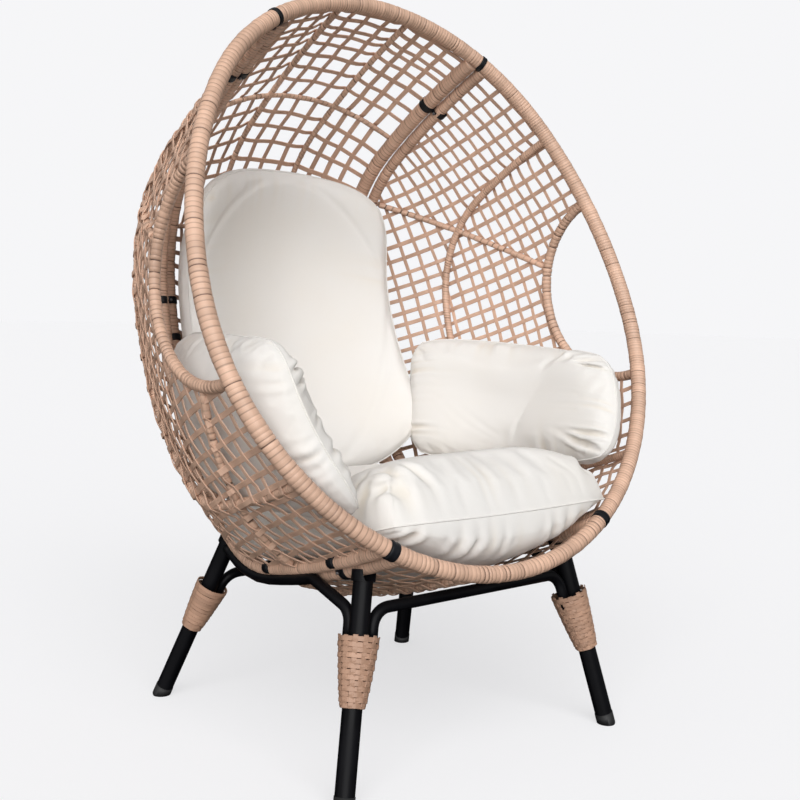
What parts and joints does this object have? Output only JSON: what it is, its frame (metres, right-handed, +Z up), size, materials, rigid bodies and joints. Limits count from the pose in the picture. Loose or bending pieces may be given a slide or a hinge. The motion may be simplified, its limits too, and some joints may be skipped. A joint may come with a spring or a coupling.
{
  "type": "egg chair",
  "caption": "Open-weave egg chair: a tilted wicker basket with side windows on a black tubular stand, with loose seat, back and arm cushions.",
  "frame": {"origin": "on the floor under the middle of the chair's width and depth", "axes": "+X to the chair's own left-to-right as seen from the front, +Y from the open front to the back, +Z up"},
  "size_m": [1.104, 1.0075, 1.4936],
  "materials": {
    "wrapped_wicker": "satin",
    "woven_wicker": "satin",
    "woven_sleeves": "satin",
    "black_legs": "satin",
    "black_bars": "satin",
    "black_collars": "satin",
    "bolt_steel": "satin",
    "rubber_feet": "matte",
    "cushion_fabric": "matte"
  },
  "bodies": {
    "chair": {"rim_top": "wrapped_wicker", "rim_left": "wrapped_wicker", "rim_right": "wrapped_wicker", "rim_bottom": "wrapped_wicker", "rim_collars": "black_collars", "back_edge_left": "wrapped_wicker", "back_edge_right": "wrapped_wicker", "seat_edge_left": "wrapped_wicker", "seat_edge_right": "wrapped_wicker", "edge_collars": "black_collars", "side_edge_left": "wrapped_wicker", "side_edge_right": "wrapped_wicker", "back_ribs": "wrapped_wicker", "seat_ribs": "wrapped_wicker", "back_cross_ribs": "wrapped_wicker", "seat_cross_ribs": "wrapped_wicker", "back_end_tube": "wrapped_wicker", "seat_end_tube": "wrapped_wicker", "side_rib_left": "wrapped_wicker", "side_rib_right": "wrapped_wicker", "side_cross_ribs_left": "wrapped_wicker", "side_cross_ribs_right": "wrapped_wicker", "window_frame_left": "wrapped_wicker", "window_frame_right": "wrapped_wicker", "back_weave": "woven_wicker", "seat_weave": "woven_wicker", "side_weave_left": "woven_wicker", "side_weave_right": "woven_wicker", "seam_clips": "black_collars", "clip_bolts": "bolt_steel", "leg_front_left": "black_legs", "leg_front_right": "black_legs", "leg_rear_left": "black_legs", "leg_rear_right": "black_legs", "front_stretcher": "black_bars", "rear_stretcher": "black_bars", "left_stretcher": "black_bars", "right_stretcher": "black_bars", "sleeve_front_left": "woven_sleeves", "sleeve_front_right": "woven_sleeves", "sleeve_rear_left": "woven_sleeves", "sleeve_rear_right": "woven_sleeves", "leg_saddles": "black_legs", "foot_glides": "rubber_feet"},
    "back_pad": {"back_cushion": "cushion_fabric"},
    "seat_pad": {"seat_cushion": "cushion_fabric"},
    "arm_pad_left": {"arm_cushion_left": "cushion_fabric"},
    "arm_pad_right": {"arm_cushion_right": "cushion_fabric"}
  },
  "joints": [
    {"name": "back_pad_lift", "type": "slide", "parent": "chair", "child": "back_pad", "axis": [0, -0.9252, 0.3795], "range_m": [0, 0.9]},
    {"name": "seat_pad_lift", "type": "slide", "parent": "chair", "child": "seat_pad", "axis": [0, -0.9252, 0.3795], "range_m": [0, 0.9]},
    {"name": "arm_pad_left_lift", "type": "slide", "parent": "chair", "child": "arm_pad_left", "axis": [0, -0.9252, 0.3795], "range_m": [0, 0.9]},
    {"name": "arm_pad_right_lift", "type": "slide", "parent": "chair", "child": "arm_pad_right", "axis": [0, -0.9252, 0.3795], "range_m": [0, 0.9]}
  ]
}
